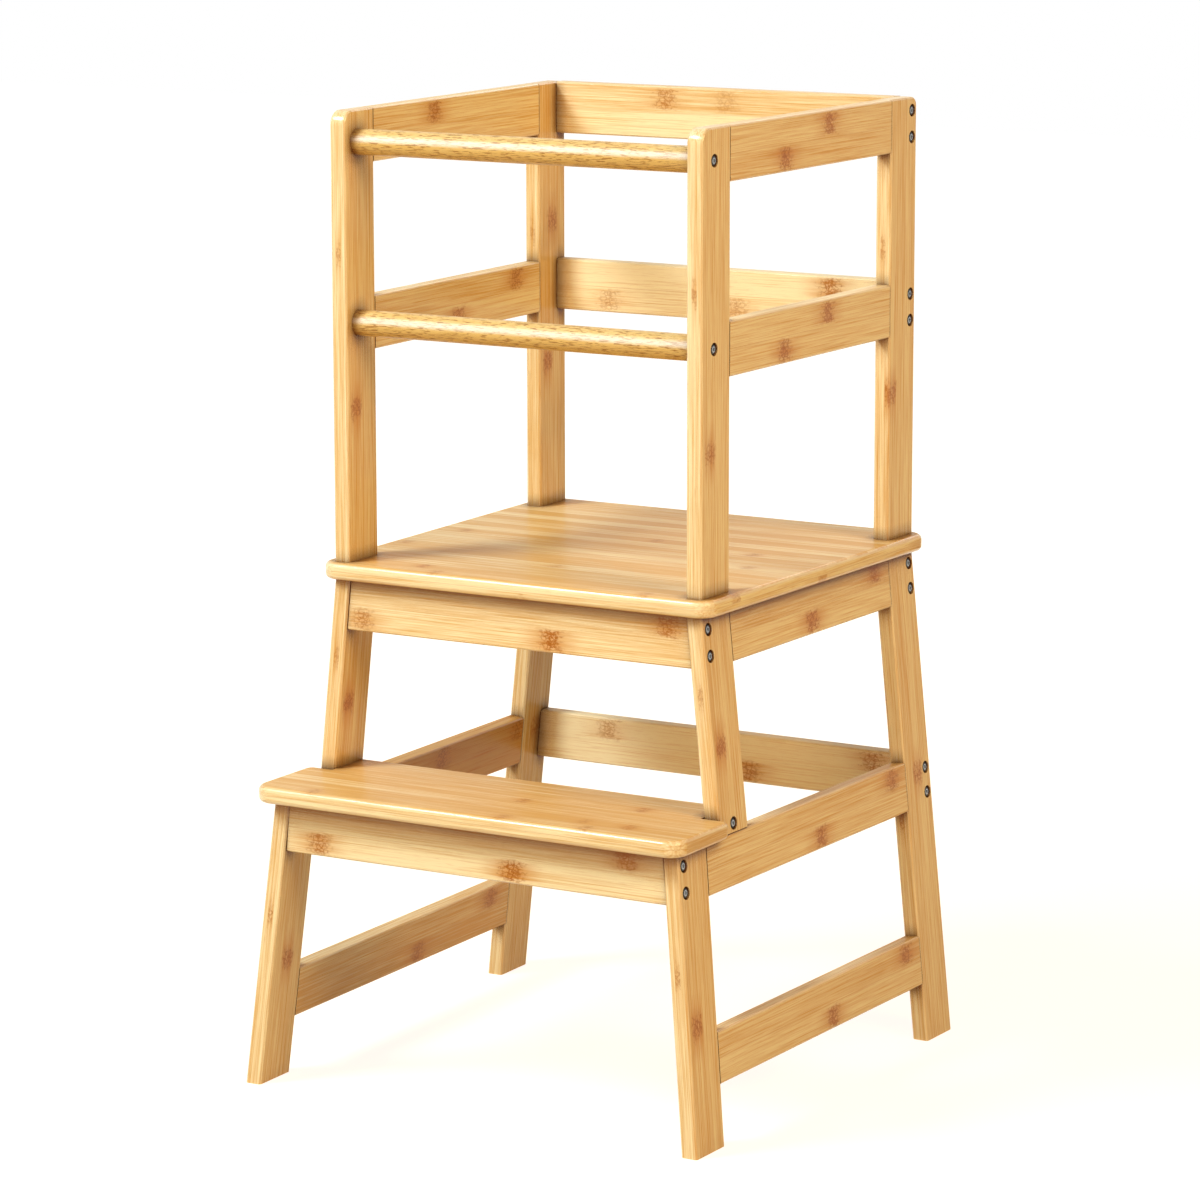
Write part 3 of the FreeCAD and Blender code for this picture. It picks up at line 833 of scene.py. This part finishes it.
# %% [markdown]
# Each rail or apron between the panels is held by two bolts at either end, and each bar by one. The board of
# the step gets one on either side as well, through the middle of the upper front leg. The pieces that a bolt
# holds give its depth and height, so nothing is measured twice. The rails and bars of the guard are in the
# upright part of the panel, and the rest is in the part that splays.
# %% Place the bolts
BOLT_HEIGHT_SHARES = {"lower": 0.25, "upper": 0.75}
HALF_UPRIGHT = lie_of("front_leg_upper_right")[2].y / 2

for name in ("rear_rail_top", "rear_rail_mid", "front_apron", "rear_apron", "rear_stretcher", "step_apron"):
    low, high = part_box(name)
    for row, share in BOLT_HEIGHT_SHARES.items():
        height = low.z + (high.z - low.z) * share
        set_bolt(f"{name}_{row}", (low.y + high.y) / 2 - PANEL_CORNER.y, height, "rail" not in name)
for name in ("front_bar_top", "front_bar_mid"):
    low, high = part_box(name)
    set_bolt(name, (low.y + high.y) / 2 - PANEL_CORNER.y, (low.z + high.z) / 2, False)
low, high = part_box("step_board")
set_bolt("step_board", HALF_UPRIGHT, (low.z + high.z) / 2, True)

# %% [markdown]
# ## Floor and background
# Shop pictures show the thing on white. A floor of paper keeps the soft shadow that tells where the legs
# stand. If the lamps lit it up to white, they would burn out the bamboo as well. So the paper has a light of
# its own, which only the rays that show it can see: those of the camera, and those in a gloss or through
# something clear. That light grows away from the tower, so that the floor ends in pure white.
# %% Paper that glows
PAPER = colour("C4B290")
GLOW = (0.6, 2.6, 0.84, 1.0)


def seen_rays(bench):
    """1 for the rays that show a thing: seen straight, in a gloss, or through a clear thing. Else 0."""
    paths = bench.add("ShaderNodeLightPath").outputs
    straight = bench.maths("MAXIMUM", paths["Is Camera Ray"], paths["Is Glossy Ray"])
    return bench.maths("MAXIMUM", straight, paths["Is Transmission Ray"])


material, bench, surface = new_material("white_paper")
paper = bench.add("ShaderNodeBsdfDiffuse", {"Color": PAPER}).outputs[0]
from_middle = bench.vector("LENGTH", bench.add("ShaderNodeTexCoord").outputs["Object"])
glow = bench.maths("MULTIPLY", seen_rays(bench), bench.fade(from_middle, *GLOW))
lift = bench.add("ShaderNodeEmission", {"Strength": glow}).outputs[0]
bench.tree.links.new(bench.add("ShaderNodeAddShader", {0: paper, 1: lift}).outputs[0], surface)
print("paper nodes:", len(bench.tree.nodes))

# %% [markdown]
# The sheet is one square, and so wide that its edges lie beyond the picture. The floor is a stage and not a
# part of the tower.
# %% Sheet of paper
FLOOR_HALF = 9.0

sheet = bpy.data.meshes.new("paper floor")
corners = [(x * FLOOR_HALF, y * FLOOR_HALF, 0) for x, y in ((-1, -1), (1, -1), (1, 1), (-1, 1))]
sheet.from_pydata(corners, [], [(0, 1, 2, 3)])
sheet.materials.append(material)
floor = bpy.data.objects.new("paper_floor", sheet)
bpy.context.scene.collection.objects.link(floor)
print("floor half width:", FLOOR_HALF, "m")

# %% [markdown]
# The world is the room round the tower. It shows as plain white, for the same rays that see the light of the
# paper, and it lights the wood only faintly, in the warm tone that light has after it met other wood.
# %% White world
ROOM_TINT, ROOM_LIGHT = colour("FFDFB4"), 0.17

world = bpy.data.worlds.new("studio")
world.use_nodes = True
world.node_tree.nodes.clear()
bench = FinishBench(world.node_tree)
room = bench.add("ShaderNodeBackground", {"Color": ROOM_TINT, "Strength": ROOM_LIGHT}).outputs[0]
white = bench.add("ShaderNodeBackground", {"Color": (1, 1, 1, 1), "Strength": 1.0}).outputs[0]
mixed = bench.add("ShaderNodeMixShader", {0: seen_rays(bench), 1: room, 2: white}).outputs[0]
bench.tree.links.new(mixed, bench.add("ShaderNodeOutputWorld").inputs["Surface"])
bpy.context.scene.world = world
print("world:", world.name)

# %% [markdown]
# ## Lamps
# The main lamp is a large soft box, high up and to the front left: the shadow of the left front post falls
# to the right across the platform. A weaker box, low in front, fills what the boards shade. The right-hand
# faces get a warm box of their own, so that they stay a deeper honey, and a faint one behind keeps the rear
# pieces from going flat.
# %% Soft boxes
AIM = Vector((0, 0, 0.45))
# Each box: the way to it from the tower, its distance and width, its strength in watts, and its tint
SOFT_BOXES = {
    "main_box": ((-0.48, -0.58, 0.73), 4.2, 1.25, 149, "EFF8FF"),
    "front_box": ((0.10, -0.98, 0.10), 4.0, 1.6, 50, "FFEEDC"),
    "right_box": ((0.84, -0.22, 0.52), 4.2, 1.7, 88, "FFD89E"),
    "back_box": ((-0.20, 0.80, 0.60), 4.0, 2.0, 22, "FFF6E8"),
}

for name, (direction, distance, width, watts, tint) in SOFT_BOXES.items():
    lamp = bpy.data.lights.new(name, "AREA")
    lamp.shape = "SQUARE"
    lamp.size = width
    lamp.energy = watts
    lamp.color = colour(tint)[:3]
    holder = bpy.data.objects.new(name, lamp)
    holder.location = AIM + Vector(direction).normalized() * distance
    holder.rotation_euler = Vector(direction).to_track_quat("Z", "Y").to_euler()
    bpy.context.scene.collection.objects.link(holder)
print("lamps:", len(bpy.data.lights))

# %% [markdown]
# ## The camera
# The picture was taken from the right, a little above the platform, with a long lens from well back, so the
# upright lines stay nearly parallel. The direction is given as turns to the left, down and sideways. Spot
# and turns are those at which the corners of the tower fall where the picture has them.
# %% Long lens
CAMERA_SPOT = Vector((2.20417, -3.76668, 1.27039))
TURNED_LEFT, TURNED_DOWN, ROLLED = math.radians(30.3591), math.radians(10.7745), math.radians(-0.1028)
LENS, SENSOR = 142.65, 36

look = Matrix.Rotation(TURNED_LEFT, 4, "Z") @ Matrix.Rotation(math.radians(90) - TURNED_DOWN, 4, "X")
look = look @ Matrix.Rotation(ROLLED, 4, "Z")
camera = bpy.data.objects.new("camera", bpy.data.cameras.new("camera"))
camera.matrix_world = Matrix.Translation(CAMERA_SPOT) @ look
camera.data.lens = LENS
camera.data.sensor_width = SENSOR
bpy.context.scene.collection.objects.link(camera)
bpy.context.scene.camera = camera
bpy.context.scene.view_settings.view_transform = "Standard"
print("camera distance:", round((CAMERA_SPOT - AIM).length, 2), "m, lens:", LENS, "mm")
